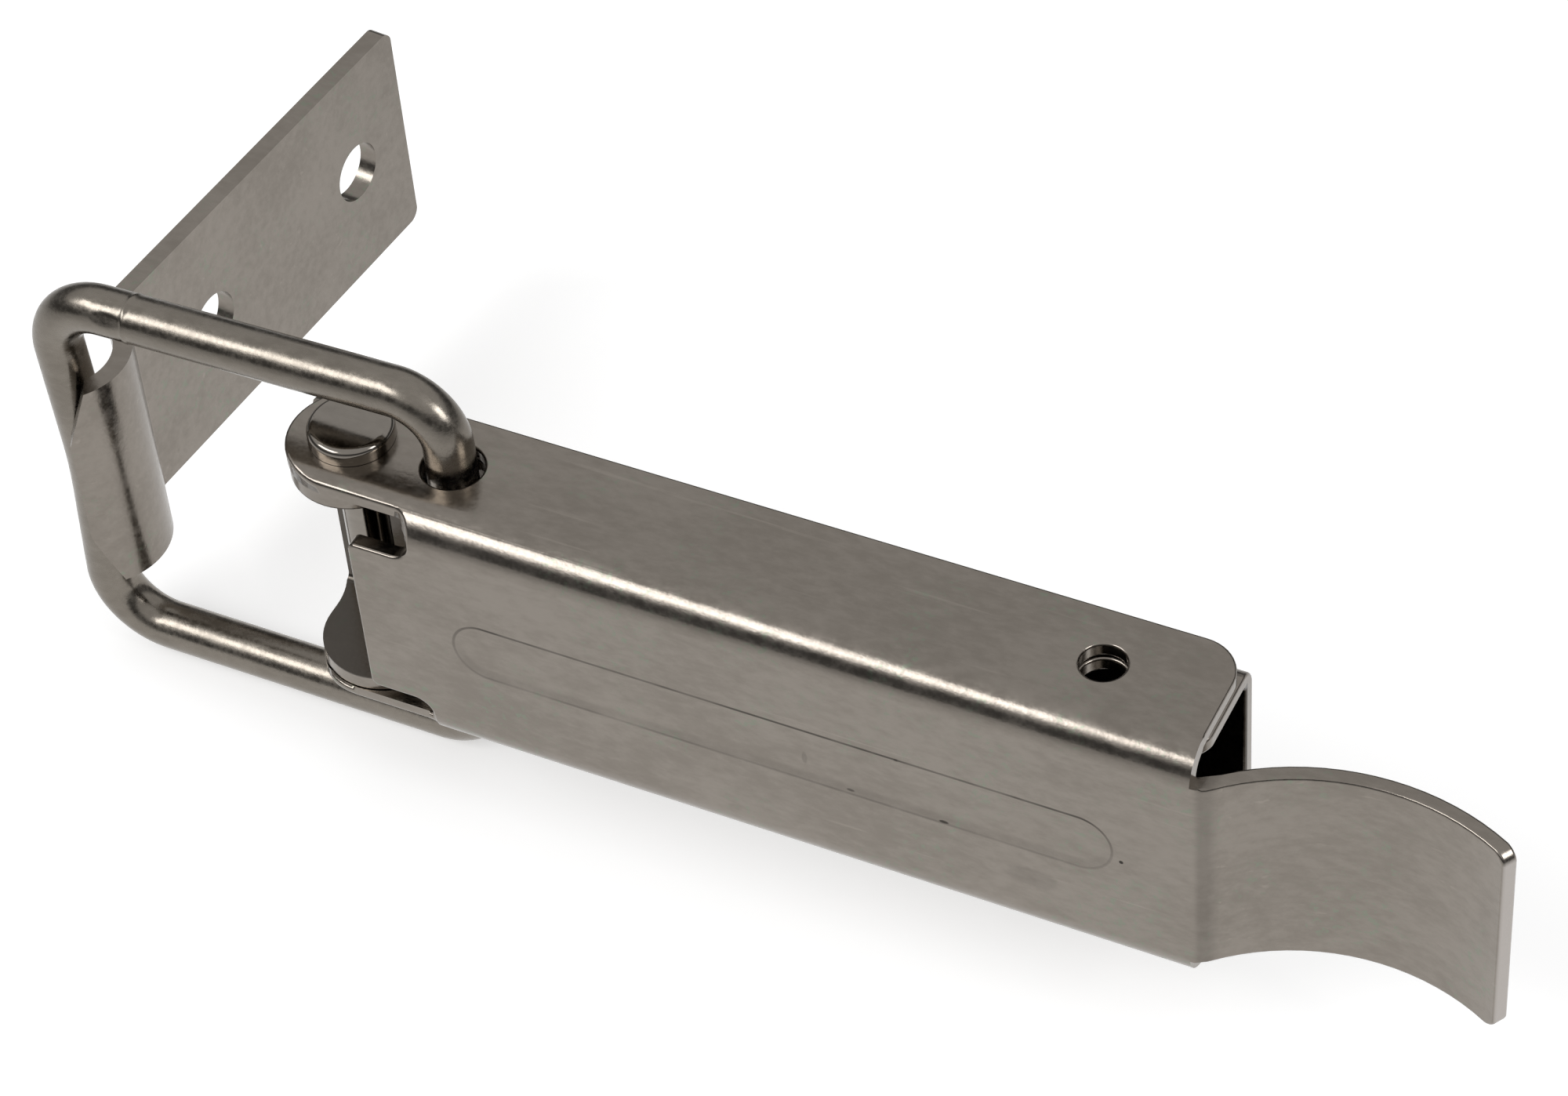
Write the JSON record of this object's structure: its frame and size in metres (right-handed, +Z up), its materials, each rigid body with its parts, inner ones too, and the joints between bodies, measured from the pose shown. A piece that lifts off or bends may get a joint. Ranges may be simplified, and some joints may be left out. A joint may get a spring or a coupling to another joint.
{
  "type": "over centre toggle latch",
  "caption": "Steel over centre toggle latch: a folded lever with a finger tab pivots on a channel base and draws a wire bail that holds a hooked catch plate.",
  "frame": {"origin": "midway between the base's two screw holes, on its mounting face", "axes": "+X along the latch towards the finger tab, +Y into the surface that the base is screwed to, +Z up along the pivot rivet"},
  "size_m": [0.1548, 0.0655, 0.0503],
  "materials": {
    "sheet_steel": "satin stainless sheet with fine grain and light scratches",
    "rivet_steel": "smooth pressed steel rivet",
    "wire_steel": "bright drawn steel wire"
  },
  "bodies": {
    "base": {"base": "sheet_steel", "pivot_rivet": "rivet_steel"},
    "handle": {"handle": "sheet_steel"},
    "bail": {"bail": "wire_steel"},
    "catch_plate": {"catch_plate": "sheet_steel"}
  },
  "joints": [
    {"name": "handle_pivot", "type": "hinge", "parent": "base", "child": "handle", "pos_m": [-0.044, -0.00675, 0], "axis": [0, 0, -1], "range_deg": [0, 144]},
    {"name": "bail_pivot", "type": "hinge", "parent": "handle", "child": "bail", "pos_m": [-0.03335, -0.00645, 0], "axis": [0, 0, 1], "range_deg": [0, 144]},
    {"name": "catch_pivot", "type": "hinge", "parent": "bail", "child": "catch_plate", "pos_m": [-0.0763, -0.00645, 0], "axis": [0, 0, 1], "range_deg": [-30, 45]}
  ],
  "couplings": [
    {"joint": "bail_pivot", "follows": "handle_pivot", "ratio": 1}
  ]
}
